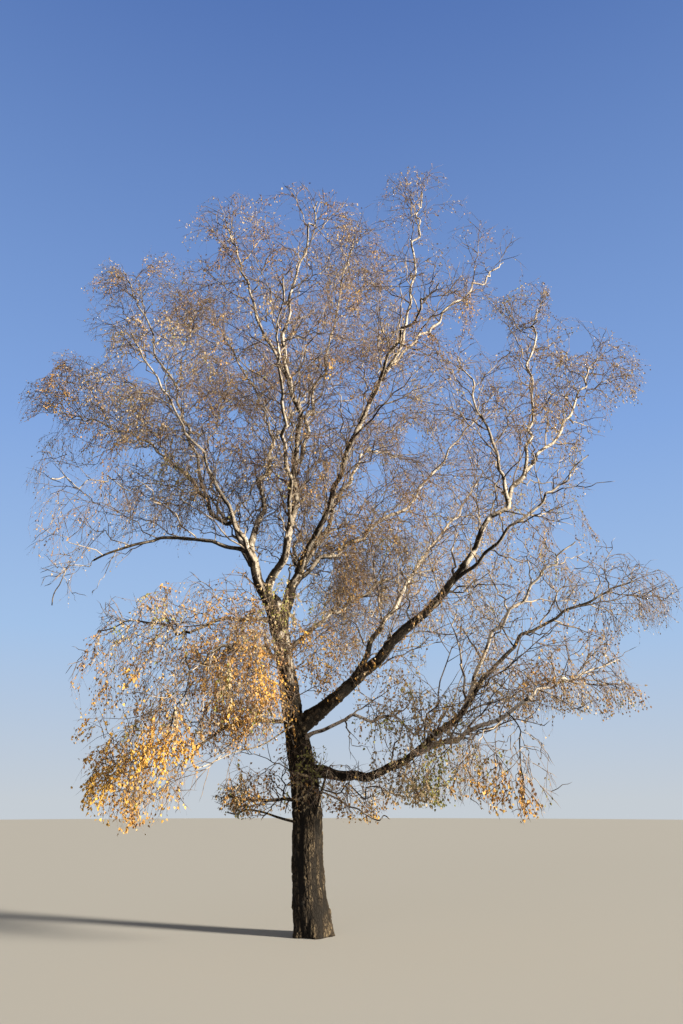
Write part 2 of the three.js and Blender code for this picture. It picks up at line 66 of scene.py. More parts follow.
# Limbs: parent, share of the way along it, tip, bow up, sway sideways, radius at root and tip, how pale the bark
# gets, and how much lower than usual it does
LIMBS = {
    "west_stem": ("trunk", 0.875, (-1.02, -0.2, 5.06), 0, 0, 0.093, 0.067, 0.9, 0.1),
    "west_arm": ("west_stem", 0.93, (-3.13, -0.5, 4.74), 0.27, 0.01, 0.032, 0.015, 0.3, 0),
    "west_rise": ("west_stem", 0.99, (-1.99, 0.4, 6.32), -0.02, 0, 0.042, 0.024, 1, 0),
    "west_mid": ("west_stem", 0.82, (-1.51, -0.56, 6.0), 0.02, 0, 0.038, 0.024, 1, 0),
    "west_inner": ("west_stem", 0.9, (-0.79, 1.1, 7.35), -0.02, 0, 0.047, 0.025, 1, 0),
    "back_west_bough": ("west_stem", 0.7, (-1.75, 1.75, 6.3), 0.06, 0, 0.038, 0.023, 1, 0),
    "centre_stem": ("west_stem", 0.42, (-0.5, -0.9, 7.72), -0.04, -0.35, 0.06, 0.03, 0.95, 0.3),
    "centre_fork": ("centre_stem", 0.532, (0.12, 0.9, 8.99), -0.01, -0.04, 0.034, 0.022, 0.68, 0),
    "front_bough": ("centre_stem", 0.3, (-0.42, -1.95, 6.7), 0.06, 0, 0.034, 0.02, 1, 0),
    "east_stem": ("trunk", 0.875, (-0.26, 0.1, 4.75), 0, 0, 0.086, 0.068, 0.9, 0.1),
    "high_bough": ("east_stem", 0.98, (1.32, -0.6, 8.25), 0.05, 0.06, 0.05, 0.025, 0.75, 0),
    "back_bough": ("east_stem", 0.93, (0.64, 1.8, 7.19), -0.03, -0.02, 0.04, 0.026, 0.6, 0),
    "back_east_bough": ("east_stem", 0.8, (1.66, 2.0, 6.6), 0, -0.06, 0.036, 0.025, 0.6, 0),
    "rear_mid": ("east_stem", 0.62, (-0.35, 1.95, 6.0), 0.05, 0, 0.038, 0.023, 0.6, 0),
    "east_bough": ("trunk", 0.57, (2.01, -0.85, 4.57), -0.12, -0.05, 0.102, 0.044, 0.8, 1.2),
    "east_rise": ("east_bough", 0.99, (2.89, -1.05, 5.82), 0.05, 0.02, 0.04, 0.028, 1, 0),
    "east_inner": ("east_bough", 0.35, (1.61, 1.0, 5.17), 0.01, -0.07, 0.046, 0.027, 0.8, 0.6),
    "low_east": ("trunk", 0.45, (2.16, -1.2, 3.09), -0.5, -0.15, 0.074, 0.031, 0.45, 0.8),
    "low_front": ("low_east", 0.6, (2.49, -2.1, 2.69), -0.06, 0.02, 0.035, 0.019, 1.1, 3.2),
    "rear_east": ("trunk", 0.8, (1.17, 1.7, 5.1), 0.04, -0.09, 0.038, 0.023, 0.8, 0.6),
    "low_west": ("trunk", 0.9, (-1.64, -0.8, 3.68), 0.15, 0.03, 0.034, 0.018, 0.6, 0.8),
    "front_west": ("trunk", 0.78, (-1.2, -1.75, 3.24), 0.11, 0.04, 0.034, 0.017, 0.6, 1.0),
    "droop_west": ("trunk", 0.6, (-1.44, -1.2, 2.18), 0.11, 0.04, 0.033, 0.016, 0.4, 1.0),
}
WOBBLE = 0.012

# Masses: bough, share of the way along it, a place that the stem passes, middle, reach, leaf tint, how many twigs
# grow, and how much they hang where the mass's height doesn't tell
MASSES = {
    "west_hang": ("west_arm", 1, (-3.3, -0.56, 4.8), (-3.38, -0.6, 4.56), (0.8, 0.72, 0.7), "tan", 0.03),
    "far_west": ("west_rise", 1, (-2.76, 0.5, 7.0), (-3.96, 0.6, 7.56), (0.94, 0.88, 0.86), "straw", 1.72),
    "west_level": ("west_rise", 0.86, (-2.44, -0.3, 6.0), (-3.1, -0.9, 5.8), (0.86, 0.8, 0.64), "tan", 0.8),
    "west_front": ("west_mid", 1, (-1.75, -1.2, 6.4), (-2.1, -1.9, 6.9), (0.86, 0.86, 0.86), "straw", 1.0),
    "northwest": ("west_rise", 0.74, (-2.25, 0.5, 7.6), (-3.0, 0.3, 9.3), (0.96, 0.9, 0.98), "straw", 1.5),
    "upper_west": ("west_inner", 1, (-1.15, 1.2, 8.3), (-1.75, 1.2, 9.45), (0.92, 0.86, 0.92), "russet", 1.2),
    "inner_back": ("west_inner", 0.86, (-0.7, 1.9, 8.0), (-0.3, 2.5, 9.0), (1.1, 0.94, 1.0), "tan", 0.24),
    "top_west": ("centre_stem", 0.86, (-0.9, -0.9, 8.5), (-1.33, -0.8, 9.82), (0.8, 0.86, 0.8), "russet", 1.38),
    "top_mid": ("centre_stem", 1, (-0.45, -1.2, 8.4), (-0.15, -1.6, 9.35), (0.76, 0.82, 0.72), "russet", 1.06),
    "top_centre": ("centre_fork", 1, (0.25, 0.8, 9.6), (0.45, 0.6, 10.45), (0.88, 0.9, 0.86), "tan", 1.18),
    "apex": ("high_bough", 1, (1.5, -0.52, 9.4), (1.64, -0.5, 10.56), (0.8, 0.82, 0.82), "tan", 0.75),
    "top_east": ("high_bough", 0.85, (1.8, -0.1, 8.8), (2.8, 0.3, 10.0), (0.9, 0.9, 0.86), "tan", 0.96),
    "front_high": ("high_bough", 0.7, (1.15, -1.4, 7.7), (1.4, -2.2, 7.7), (0.86, 0.82, 0.86), "russet", 0.66),
    "front_mid": ("front_bough", 1, (-0.45, -2.3, 7.0), (-0.4, -2.7, 7.2), (0.86, 0.8, 0.86), "russet", 0.3),
    "back_mid": ("back_bough", 1, (0.8, 2.3, 7.7), (1.2, 2.9, 7.9), (0.96, 0.86, 0.94), "tan", 1.26),
    "back_east": ("back_east_bough", 1, (2.1, 2.2, 7.3), (2.8, 2.1, 8.2), (0.92, 0.88, 0.92), "tan", 0.98),
    "east_high": ("east_rise", 1, (3.1, -0.9, 6.9), (3.35, -0.6, 8.35), (0.76, 0.8, 0.74), "straw", 1.28),
    "east_far": ("east_rise", 0.86, (3.4, -0.8, 6.5), (4.08, -0.45, 7.64), (0.78, 0.8, 0.82), "straw", 1.5),
    "east_left": ("east_rise", 0.7, (2.5, -1.15, 6.2), (2.2, -1.3, 6.95), (0.78, 0.78, 0.76), "tan", 0.62),
    "east_hang": ("east_bough", 0.9, (2.65, -1.25, 5.0), (3.2, -1.45, 5.5), (0.8, 0.76, 0.76), "tan", 0.44),
    "inner_east": ("east_inner", 1, (2.0, 1.3, 5.7), (2.4, 1.5, 6.3), (0.96, 0.94, 0.9), "straw", 0.53, 0.45),
    "far_east": ("low_east", 1, (2.9, -0.95, 3.7), (4.02, -0.5, 4.3), (0.86, 0.82, 0.76), "tan", 1.46, 0.7),
    "mid_east": ("low_east", 0.86, (2.25, -1.5, 3.6), (2.85, -1.85, 4.2), (0.74, 0.74, 0.64), "straw", 0.34, 0.6),
    "low_far_east": ("low_front", 1, (2.8, -2.05, 2.85), (3.15, -1.95, 2.98), (0.74, 0.68, 0.5), "straw", 1.02, 0.7),
    "low_hang_east": ("low_front", 0.82, (2.25, -2.15, 2.4), (2.26, -2.2, 1.94), (0.6, 0.56, 0.46), "gold", 1.1),
    "rear_far": ("rear_east", 1, (1.8, 2.0, 5.15), (2.35, 2.3, 4.9), (0.9, 0.86, 0.8), "straw", 0.43, 0.6),
    "rear_low": ("rear_east", 0.8, (0.85, 2.0, 4.6), (0.6, 2.6, 4.7), (0.9, 0.86, 0.82), "straw", 1.22, 0.55),
    "back_west": ("back_west_bough", 1, (-2.0, 2.1, 6.7), (-2.5, 2.3, 6.7), (0.96, 0.9, 1.35), "tan", 0.06),
    "back_centre": ("rear_mid", 1, (-0.5, 2.5, 6.4), (-0.5, 3.0, 6.8), (0.96, 0.86, 0.98), "russet", 0.16),
    "cloud_west": ("low_west", 1, (-1.85, -0.9, 3.72), (-2.08, -0.95, 3.7), (0.96, 0.8, 0.62), "amber", 0.83, 0.65),
    "gold_west": ("front_west", 1, (-1.35, -1.95, 3.1), (-1.42, -2.1, 2.75), (0.76, 0.7, 0.6), "gold", 0.42, 0.55),
    "gold_low": ("droop_west", 1, (-1.7, -1.3, 2.2), (-1.98, -1.35, 2.06), (0.64, 0.64, 0.64), "gold", 1.2, 0.7),
    "under_east": ("trunk", 0.53, (0.5, -0.6, 2.64), (1.18, -1.1, 2.45), (0.76, 0.62, 0.42), "olive", 1.02, 0.5),
    "leader_tuft": ("trunk", 0.72, (-0.56, -0.42, 3.28), (-0.64, -0.7, 3.16), (0.52, 0.46, 0.62), "amber", 1.4, 0.45),
    "low_tuft_west": ("trunk", 0.36, (-0.42, -0.32, 1.62), (-0.74, -0.48, 1.64), (0.52, 0.48, 0.33), "amber",
                      1.9, 0.4),
    "low_tuft_east": ("trunk", 0.4, (0.22, -0.36, 1.74), (0.56, -0.56, 1.7), (0.56, 0.48, 0.33), "olive", 1.4, 0.4),
}
# Masses whose stems are pale low on the tree too
PALE_STEMS = ("under_east", "low_far_east", "mid_east", "rear_low", "rear_far")

# Small branches low on the trunk: places, radius at root and tip, paleness
LOW_BRANCHES = {
    "stub": (((-0.03, -0.08, 1.38), (0.03, -0.17, 1.46), (0.08, -0.22, 1.63), (0.13, -0.25, 1.8),
              (0.185, -0.3, 2.02)), 0.028, 0.013, 0.9),
    "low_twist": (((-0.05, -0.05, 1.72), (0.1, -0.25, 1.7), (0.34, -0.55, 1.6), (0.44, -0.8, 1.53),
                   (0.56, -0.95, 1.5), (0.66, -1.05, 1.43), (0.8, -1.15, 1.375), (0.86, -1.17, 1.43),
                   (0.93, -1.2, 1.39)), 0.014, 0.006, 1.4),
    "low_dark": (((-0.1, -0.05, 1.31), (-0.25, -0.13, 1.335), (-0.43, -0.25, 1.384), (-0.649, -0.4, 1.458),
                  (-0.83, -0.5, 1.483), (-0.954, -0.6, 1.438), (-1.071, -0.66, 1.462)), 0.02, 0.007, 0.0),
    "dead_thin": (((-0.27, -0.05, 2.56), (-0.33, -0.2, 2.52), (-0.668, -0.5, 2.27), (-0.974, -0.8, 2.167),
                   (-1.284, -1.0, 2.004), (-1.422, -1.1, 1.954)), 0.013, 0.005, 0.9),
}

# Open sky seen through the crown from the front: middle and reach of each gap, in X and Z on the plane Y = 0
VIEWPOINT = np.array([0.36, -11.2, 1.6])
GAPS = np.array([
    (1.74, 3.41, 0.39, 0.28), (1.5, 6.85, 0.24, 0.32), (-1.22, 8.2, 0.34, 0.42), (0.46, 7.41, 0.16, 0.19),
    (-1.12, 6.75, 0.2, 0.28), (0.86, 6.29, 0.14, 0.2), (0.16, 4.76, 0.12, 0.13), (-0.21, 4.15, 0.11, 0.16),
    (0.76, 4.29, 0.12, 0.13), (-1.65, 3.88, 0.2, 0.15), (1.17, 2.84, 0.17, 0.17), (-2.78, 4.53, 0.75, 0.16),
    (-1.49, 4.88, 0.22, 0.22), (2.74, 8.72, 0.26, 0.33), (3.1, 9.75, 0.3, 0.3), (4.35, 5.85, 0.33, 0.9),
    (4.77, 5.21, 0.37, 0.35), (3.91, 2.21, 0.81, 0.4), (3.45, 3.42, 0.17, 0.13), (-3.62, 8.44, 0.26, 0.16),
    (4.15, 9.5, 0.45, 0.42), (-4.31, 4.43, 0.39, 0.72), (-4.01, 3.45, 0.56, 0.42), (-3.85, 4.3, 0.45, 0.4),
    (-1.35, 7.25, 0.24, 0.32), (4.55, 3.5, 0.27, 0.6), (3.76, 5.2, 0.28, 0.3), (-4.5, 8.12, 0.32, 0.25),
    (-4.3, 7.08, 0.36, 0.2), (-3.3, 10.15, 0.22, 0.22), (-2.75, 8.0, 0.28, 0.24), (-2.9, 6.55, 0.48, 0.15),
    (-1.95, 10.5, 0.24, 0.28), (4.75, 7.3, 0.25, 0.34), (-3.35, 4.0, 0.28, 0.3), (4.15, 8.62, 0.28, 0.2),
])

# Sparser growth that fills the crown between the masses: middle and reach
FILLS = np.array([
    (-0.7, 0.0, 7.3, 2.7, 2.4, 2.7), (2.3, -0.3, 6.1, 1.9, 2.2, 2.1), (0.73, 0.2, 5.2, 1.3, 2.0, 1.2),
    (-1.23, -0.6, 4.1, 0.8, 1.1, 0.62), (0.3, -0.2, 3.5, 0.95, 1.4, 0.9), (1.2, -0.9, 2.6, 1.1, 1.0, 0.6),
    (-2.5, -1.0, 2.8, 0.62, 0.9, 0.95), (-1.0, -0.9, 2.9, 1.0, 1.2, 1.0), (-2.5, 0.3, 9.6, 0.95, 1.4, 1.0),
    (-3.7, 0.2, 7.9, 1.0, 1.2, 0.7), (0.66, 0.0, 8.72, 1.14, 2.2, 1.4), (1.8, -0.6, 3.9, 1.3, 1.6, 0.9),
    (2.32, -1.2, 2.88, 0.9, 1.1, 0.6), (-1.36, 0.2, 6.25, 1.0, 1.6, 1.0), (-2.77, -0.2, 5.77, 1.1, 1.3, 0.9),
    (-0.15, -0.3, 1.95, 0.5, 0.55, 0.6), (1.45, -1.4, 1.85, 0.95, 1.0, 0.45), (-0.5, -0.6, 3.95, 0.6, 0.6, 0.75),
    (2.1, -0.1, 9.2, 0.8, 1.3, 0.9), (-1.25, -0.3, 4.35, 0.8, 1.0, 0.5), (-2.6, 0.0, 7.0, 1.0, 1.4, 0.6),
    (-2.35, 0.2, 9.7, 0.6, 1.0, 0.6), (2.05, 0.0, 10.3, 0.55, 0.8, 0.5), (3.95, 0.0, 7.1, 0.45, 1.0, 0.75),
    (3.45, 0.0, 9.15, 0.4, 0.9, 0.4), (0.9, -0.5, 3.1, 0.7, 0.9, 0.5), (-2.75, -0.9, 3.2, 0.5, 0.8, 0.45),
]).reshape(-1, 2, 3)
FILL_WEIGHT = 0.9
FIELD_EDGE = 1.6
FIELD_LEVEL = (1 - 1 / FIELD_EDGE ** 2) ** 2
GAP_WEIGHT = 1.1
GAP_EDGE = 1.1
# Waves that fray the gaps and the crown: size, bumps on a metre, middle, seed
GAP_WAVES = ((1.6, 3.5, 0.45, 71), (1.0, 9, 0.5, 72))
CROWN_WAVES = ((0.36, 1.4, 0.5, 77), (0.24, 3.7, 0.5, 78))

# Growth of the boughlets: counts, and the source's spreads
STEM_BOUGHLETS = 12
BOUGH_SHOOT_STEP = 0.17
TRUNK_SHOOTS = 26
# Shoots that hang under the low limbs: from and to which share of the way along, and how many
FRINGES = {"low_east": (0.25, 0.8, 6), "low_front": (0.08, 0.8, 6), "east_bough": (0.12, 0.35, 2)}
FOOT_SPREAD = 1.45
END_SPREAD = 0.55
GOLDEN_ANGLE = 2.399963
STEM_START = 0.985
STEM_GIRTH = 0.92
STEM_LIMIT = 0.03
STEM_SHARE = 0.74
STEM_END_RADIUS = 0.008
UP = np.array([0, 0, 1.0])

# The orders that grow on from the boughlets. From and to which share of the parent, least and most spread from it,
# hang and its part by droop, length and its part by droop, least and most of that, sag and its part by droop, steps,
# kinks, radius at root and tip, and how deep in the crown the growth has to stay.
ORDERS = {
    "branches": ((0.25, 1.0), (0.5, 1.1), (-0.05, 0.15), (1, 0), (0.7, 1.2), (-0.04, 0.15), 4, 0.028,
                 (0.0058, 0.0028), 0.75),
    "twigs": ((0.2, 1.0), (0.45, 1.0), (0, 0.35), (1, 0), (0.22, 0.55), (0.1, 0.3), 3, 0.03, (0.0034, 0.0018), 0.8),
    "strands": ((0.15, 1.0), (0.35, 0.95), (0.05, 0.6), (0.28, 0.32), (0.5, 1.4), (0.12, 0.55), 2, 0.05,
                (0.0022, 0.0012), 0.85),
    "sprigs": ((0.12, 0.97), (0.4, 1.1), (0.1, 0.3), (1, 0), (0.1, 0.28), (0.2, 0), 1, 0, (0.0018, 0.0012), 0.75),
}
# Shoots on each metre of the parent: branches by a mild measure of the mass's density, twigs by all of it, strands by
# how thick the tufts stand, sprigs everywhere alike
BRANCH_RATE = 7.4
TWIG_RATE = 4.0
STRAND_RATE = 8.4
SPRIG_RATE = 9.0
BRANCH_LENGTHS = (0.3, 0.8)

# Foliage by a mass's tint: leaves on each metre of fine twig, leaf length, how many fine twigs grow, and the share of
# each of the TINTS that is dealt out by spray
FOLIAGE = {
    "tan": (5.4, 0.026, 1, (0.03, 0.12, 0.2, 0.63, 0.02)),
    "russet": (6.2, 0.028, 1, (0.04, 0.2, 0.36, 0.4, 0.0)),
    "straw": (6.8, 0.028, 1, (0.07, 0.18, 0.12, 0.58, 0.05)),
    "olive": (12.0, 0.033, 0.7, (0.14, 0.12, 0.05, 0.41, 0.28)),
    "amber": (13.0, 0.03, 0.7, (0.26, 0.3, 0.1, 0.3, 0.04)),
    "gold": (20.0, 0.034, 0.6, (0.44, 0.28, 0.06, 0.16, 0.06)),
}
# Leaf tints: base colour and slot
TINTS = {
    "gold": ((0.8, 0.49, 0.11), "leaves_gold"),
    "amber": ((0.64, 0.36, 0.1), "leaves_gold"),
    "russet": ((0.34, 0.2, 0.11), "leaves_russet"),
    "tan": ((0.55, 0.42, 0.24), "leaves_tan"),
    "olive": ((0.36, 0.35, 0.1), "leaves_gold"),
}
TINT_SEED = 45
LEAF_HANG = 0.7
# Outlines of a small leaf, and of one longer than BROAD_LENGTH
BROAD_LENGTH = 0.036
OUTLINES = (
    np.array([(0, 0, 0), (0.36, 0.3, 0.1), (0, 1, 0.1), (-0.36, 0.3, 0.1)]),
    np.array([(0, 0, 0), (0.3, 0.08, 0.06), (0.38, 0.34, 0.1), (0, 1, 0), (-0.38, 0.34, 0.1), (-0.3, 0.08, 0.06)]),
)

# Patterns in the bark: scale, detail, and the levels between which each is sharpened
BARK_PATTERNS = {
    "lichen": ((14, 14, 6), 4, 0.45, 0.66),
    "grain": ((70, 70, 22), 5, 0.38, 0.64),
    "tone": ((9, 9, 4), 4, 0.35, 0.7),
    "bands": ((16, 16, 75), 3, 0.56, 0.64),
    "patches": ((13, 13, 9), 4, 0.54, 0.6),
}
# Bark of the thin branches, light and dark, and plain colours of the finer twigs
BOUGHLET_BARK = ((0.6, 0.51, 0.4), (0.07, 0.052, 0.042))
BRANCH_BARK = ((0.34, 0.26, 0.19), (0.06, 0.045, 0.037))
TWIG_COLOUR = (0.24, 0.18, 0.14)
FINE_TWIG_COLOUR = (0.37, 0.275, 0.21)

# Backdrop: share of the way up from the horizon, and colour
SKY = ((0, (0.56, 0.61, 0.66)), (0.19, (0.37, 0.54, 0.8)), (0.42, (0.23, 0.39, 0.74)), (0.8, (0.09, 0.18, 0.46)))
# The even light that falls on the tree, and the floor
FILL_COLOUR = (0.86, 0.9, 1.0)
FILL_STRENGTH = 0.145
FLOOR_COLOUR = (0.6, 0.6, 0.58)
# Sun lamps: energy, width in degrees, colour, and the direction that the light takes
SUNS = {
    "low_sun": (8.8, 8, (1.0, 0.89, 0.72), (-0.89, 0.38, -0.25)),
    "front_light": (0.3, 40, (0.96, 0.95, 1.0), (0.35, 0.88, -0.3)),
}
# The camera: lens in millimetres on a 36 mm sensor, tilt up in degrees
LENS = 27.98
TILT = 19.9

BOX = np.array(cad_box) + ((-0.06, -0.06, 0), (0.06, 0.06, 0.06))
MIDDLES = np.array([row[3] for row in MASSES.values()], float)
REACHES = np.array([row[4] for row in MASSES.values()], float)
DENSITIES = np.array([row[6] for row in MASSES.values()])
DROOPS = np.array([row[7] if len(row) > 7 else np.clip((9 - row[3][2]) / 4.5, 0.12, 1) for row in MASSES.values()])
RANDOM = np.random.default_rng(11)


def chance(a, b):
    """A fixed number between 0 and 1 for each pair of seeds."""
    wave = np.sin(np.asarray(a) * 127.1 + np.asarray(b) * 311.7) * 43758.5453
    return wave - np.floor(wave)


def smooth(low, high, value):
    """0 below low, 1 above high, with soft ends."""
    share = np.clip((value - low) / (high - low), 0, 1)
    return share * share * (3 - 2 * share)


def unit(vectors):
    """Vectors of length 1."""
    return vectors / np.maximum(np.linalg.norm(vectors, axis=-1, keepdims=True), 1e-9)


def round_axis(angle, wide, high):
    """Places round an upright axis."""
    return np.stack([wide * np.cos(angle), wide * np.sin(angle), high], -1)


def between(rows, share):
    """Places at shares of the way along a row of them."""
    where = np.linspace(0, 1, len(rows))
    return np.stack([np.interp(share, where, rows[:, axis]) for axis in range(3)], -1)


def noise(points, seed):
    """Smooth noise between 0 and 1 at places in space, one bump for each unit."""
    cell = np.floor(points)
    part = points - cell
    part = part * part * (3 - 2 * part)
    total = np.zeros(points.shape[:-1])
    for corner in np.ndindex(2, 2, 2):
        i, j, k = (cell[..., axis] + corner[axis] for axis in range(3))
        weight = np.prod([part[..., axis] if corner[axis] else 1 - part[..., axis] for axis in range(3)], axis=0)
        total = total + weight * chance(i + 57 * j, k + seed)
    return total


def waves(points, rows):
    """A sum of noises about 0 at places."""
    return sum(size * (noise(points * rate, seed) - middle) for size, rate, middle, seed in rows)


def fullness(points):
    """How deep places are in the crown: the masses and fills add up, the open gaps take away."""
    flat = points.reshape(-1, 3)
    total = np.zeros(len(flat))
    for middle, reach in zip(MIDDLES, REACHES):
        total += np.clip(1 - (((flat - middle) / reach) ** 2).sum(1) / FIELD_EDGE ** 2, 0, 1) ** 2
    for middle, reach in FILLS:
        total += FILL_WEIGHT * np.clip(1 - (((flat - middle) / reach) ** 2).sum(1), 0, 1)
    seen = VIEWPOINT - (flat - VIEWPOINT) * (VIEWPOINT[1] / (flat[:, 1:2] - VIEWPOINT[1]))
    ragged = waves(seen, GAP_WAVES)
    for x, z, wide, high in GAPS:
        across = ((seen[:, 0] - x) / wide) ** 2 + ((seen[:, 2] - z) / high) ** 2 + ragged
        total -= GAP_WEIGHT * np.clip(GAP_EDGE - across, 0, 1)
    total += waves(flat, CROWN_WAVES)
    low, high = BOX
    boxed = ((flat > low) & (flat < high)).all(1)
    return np.where(boxed, total, -1).reshape(points.shape[:-1])


def tufts(points):
    """How thickly fine twigs and leaves stand at places: in tufts, with open air between them."""
    return smooth(0.4, 0.64, 0.55 * noise(points * 2.6, 61) + 0.45 * noise(points * 5.6, 62))


def mass_shares(points):
    """How far places are from the middle of each mass, squared, by the mass's reach."""
    return np.array([(((points - middle) / reach) ** 2).sum(-1) for middle, reach in zip(MIDDLES, REACHES)])


def thickness(points):
    """How many twigs grow at places: the densities of the masses near them, blended."""
    away = mass_shares(points)
    near = np.exp(1.6 * (away.min(0) - away))
    return np.exp((near * np.log(DENSITIES)[:, None]).sum(0) / near.sum(0))


class Path:
    """A limb or stem as a row of places and radii, with the radius of what it leaves."""

    def __init__(self, places, radii, hidden, seed):
        self.places, self.radii, self.hidden, self.seed = places, radii, hidden, seed
        self.length = np.linalg.norm(np.diff(places, axis=0), axis=1).sum()

    def point(self, share):
        """Places at shares of the way along."""
        return between(self.places, share)

    def radius(self, share):
        """Radii at shares of the way along."""
        return self.radii[0] + np.asarray(share) * (self.radii[1] - self.radii[0])

    def heading(self, share):
        """Directions at shares of the way along."""
        return unit(self.point(np.minimum(share + 0.02, 1)) - self.point(np.maximum(share - 0.02, 0)))


def kinks(count, knots, size, seed):
    """Sideways steps of a crooked branch along a path, none at its ends."""
    source = np.random.default_rng(seed)
    steps = source.normal(scale=size, size=(knots + 1, 3))
    share = np.linspace(0, 1, count)
    return between(steps, share) * np.clip(6 * share * (1 - share), 0, 1)[:, None]


def trunk_ring(height, column):
    """The trunk's lean (1) or radius (2) at heights."""
    return np.interp(height, TRUNK_RINGS[:, 0], TRUNK_RINGS[:, column])


def trunk_point(share):
    """Places on the trunk's leaning middle line."""
    height = np.asarray(share, float) * TRUNK_HEIGHT
    return np.stack([trunk_ring(height, 1), 0 * height, height], -1)


def base(limbs, parent, share):
    """Where a limb or stem leaves its parent, and the parent's radius there."""
    if parent == "trunk":
        return trunk_point(share), trunk_ring(share * TRUNK_HEIGHT, 2)
    return limbs[parent].point(share), limbs[parent].radius(share)


def limb_path(start, row, hidden, seed):
    """A limb between two places with the source's bow, sway and slight crookedness, and small kinks."""
    tip, bow, sway = np.array(row[2], float), row[3], row[4]
    along = tip - start
    length = np.linalg.norm(along)
    flat = math.hypot(along[0], along[1]) + 0.001
    pull = np.array([sway * along[1] / flat, -sway * along[0] / flat, bow])
    control = (start + tip) / 2 + 2 * pull
    share = np.linspace(0, 1, 160)
    t = share[:, None]
    places = (1 - t) ** 2 * start + 2 * t * (1 - t) * control + t * t * tip
    swing = WOBBLE * length * np.sin(np.pi * share)
    for axis, rate in enumerate((9, 8, 11)):
        places[:, axis] += swing * np.sin(rate * share + 6.3 * chance(seed, axis + 1))
    places += kinks(160, max(3, round(length / 0.26)), 0.02 if row[5] > 0.08 else 0.036, 300 + seed)
    return Path(places, (row[5], row[6]), hidden, seed)


def smooth_row(stops, count=90):
    """A smooth line through a row of places."""
    ends = np.vstack([2 * stops[0] - stops[1], stops, 2 * stops[-1] - stops[-2]])
    where = np.clip(np.linspace(0, 1, count), 0, 0.99999) * (len(stops) - 1)
    i = where.astype(int)
    t = (where - i)[:, None]
    before, here, there, after = ends[i], ends[i + 1], ends[i + 2], ends[i + 3]
    leaving, arriving = 0.5 * (there - before), 0.5 * (after - here)
    return (here + t * leaving + t * t * (3 * (there - here) - 2 * leaving - arriving)
            + t ** 3 * (2 * (here - there) + leaving + arriving))


def stem_path(root, thick, hidden, row, seed):
    """A mass's stem: from its bough, past a chosen place and the middle of its space, to the far side."""
    via, middle, reach = (np.array(value, float) for value in row[2:5])
    out = unit(middle - via)
    tip = middle + out * STEM_SHARE / np.linalg.norm(out / reach)
    places = smooth_row(np.array([root, via, middle, tip]))
    length = np.linalg.norm(tip - root)
    crook = 0.085 if tip[2] < root[2] else 0.036 if tip[2] > 2.7 else 0.055
    places = places + kinks(90, max(5, round(length / 0.16)), crook, 500 + seed)
    return Path(places, (STEM_GIRTH * thick, STEM_END_RADIUS), hidden, 50 + seed)


def grow_limbs():
    """Every limb, each from its place on its parent."""
    limbs = {}
    for index, (name, row) in enumerate(LIMBS.items()):
        start, hidden = base(limbs, *row[:2])
        limbs[name] = limb_path(start, row, hidden, index)
    return limbs


def grow_stems(limbs):
    """The stem of every mass, from its bough or the trunk."""
    stems = []
    for index, row in enumerate(MASSES.values()):
        bough, share = row[0], row[1]
        at = STEM_START if share == 1 else share
        root, hidden = base(limbs, bough, at)
        thick = STEM_LIMIT if bough == "trunk" else min(limbs[bough].radius(share), STEM_LIMIT)
        if row[3][2] < root[2]:
            thick *= 0.36
        stems.append(stem_path(root, thick, hidden, row, index))
    return stems


class Twigs:
    """Many twigs at once: a row of places for each, its radii at root and tip, and its mass."""

    def __init__(self, lines, thick, thin, mass):
        self.lines, self.thick, self.thin, self.mass = lines, thick, thin, mass
        self.length = np.linalg.norm(np.diff(lines, axis=1), axis=2).sum(1)

    def at(self, host, share):
        """Places along chosen twigs, and the directions in which they run there."""
        steps = self.lines.shape[1] - 1
        where = np.clip(share, 0, 0.9999) * steps
        i = where.astype(int)
        here, there = self.lines[host, i], self.lines[host, i + 1]
        return here + (where - i)[:, None] * (there - here), unit(there - here)

    def kept(self, mask):
        """The twigs that a mask picks out."""
        return Twigs(self.lines[mask], self.thick[mask], self.thin[mask], self.mass[mask])


def leave(ahead, angle, turn, hang):
    """Directions that leave others at an angle, turned round them, and drawn down by a hang."""
    across = unit(np.cross(ahead, np.array([0.1, 0.2, 1.0])))
    over = np.cross(ahead, across)
    angle, turn = np.asarray(angle)[:, None], np.asarray(turn)[:, None]
    side = across * np.cos(turn) + over * np.sin(turn)
    direction = ahead * np.cos(angle) + side * np.sin(angle)
    return unit(direction - UP * np.reshape(hang, (-1, 1)))


def grown(root, direction, length, sag, steps, kink, thick, thin, mass, least):
    """Twigs that set out in a direction and sag; each is shortened to stay in the crown, or left out."""
    share = np.linspace(0, 1, steps + 1)[None, :, None]

    def lines_of(far):
        drop = far * sag
        tip = root + direction * (far * (1 - 0.3 * sag))[:, None] - UP * drop[:, None]
        control = root + direction * (0.5 * far)[:, None]
        return ((1 - share) ** 2 * root[:, None] + 2 * share * (1 - share) * control[:, None]
                + share ** 2 * tip[:, None])

    level = FIELD_LEVEL * least * RANDOM.uniform(0.64, 1.3, len(root))[:, None]
    best = np.zeros(len(root))
    for test in (0.42, 0.6, 0.8, 1):
        ends = lines_of(length * test)[:, [steps // 2, -1]] if steps > 1 else lines_of(length * test)[:, [-1]]
        inside = (fullness(ends) > level).all(1) & (ends[..., 2] > 0.12).all(1)
        best = np.where(inside, test, best)
    lines = lines_of(length * best)
    if steps > 1:
        shift = RANDOM.normal(size=(len(root), steps - 1, 3))
        lines[:, 1:-1] += shift * (kink * length * best)[:, None, None]
    return Twigs(lines, thick, thin, mass).kept(best > 0)


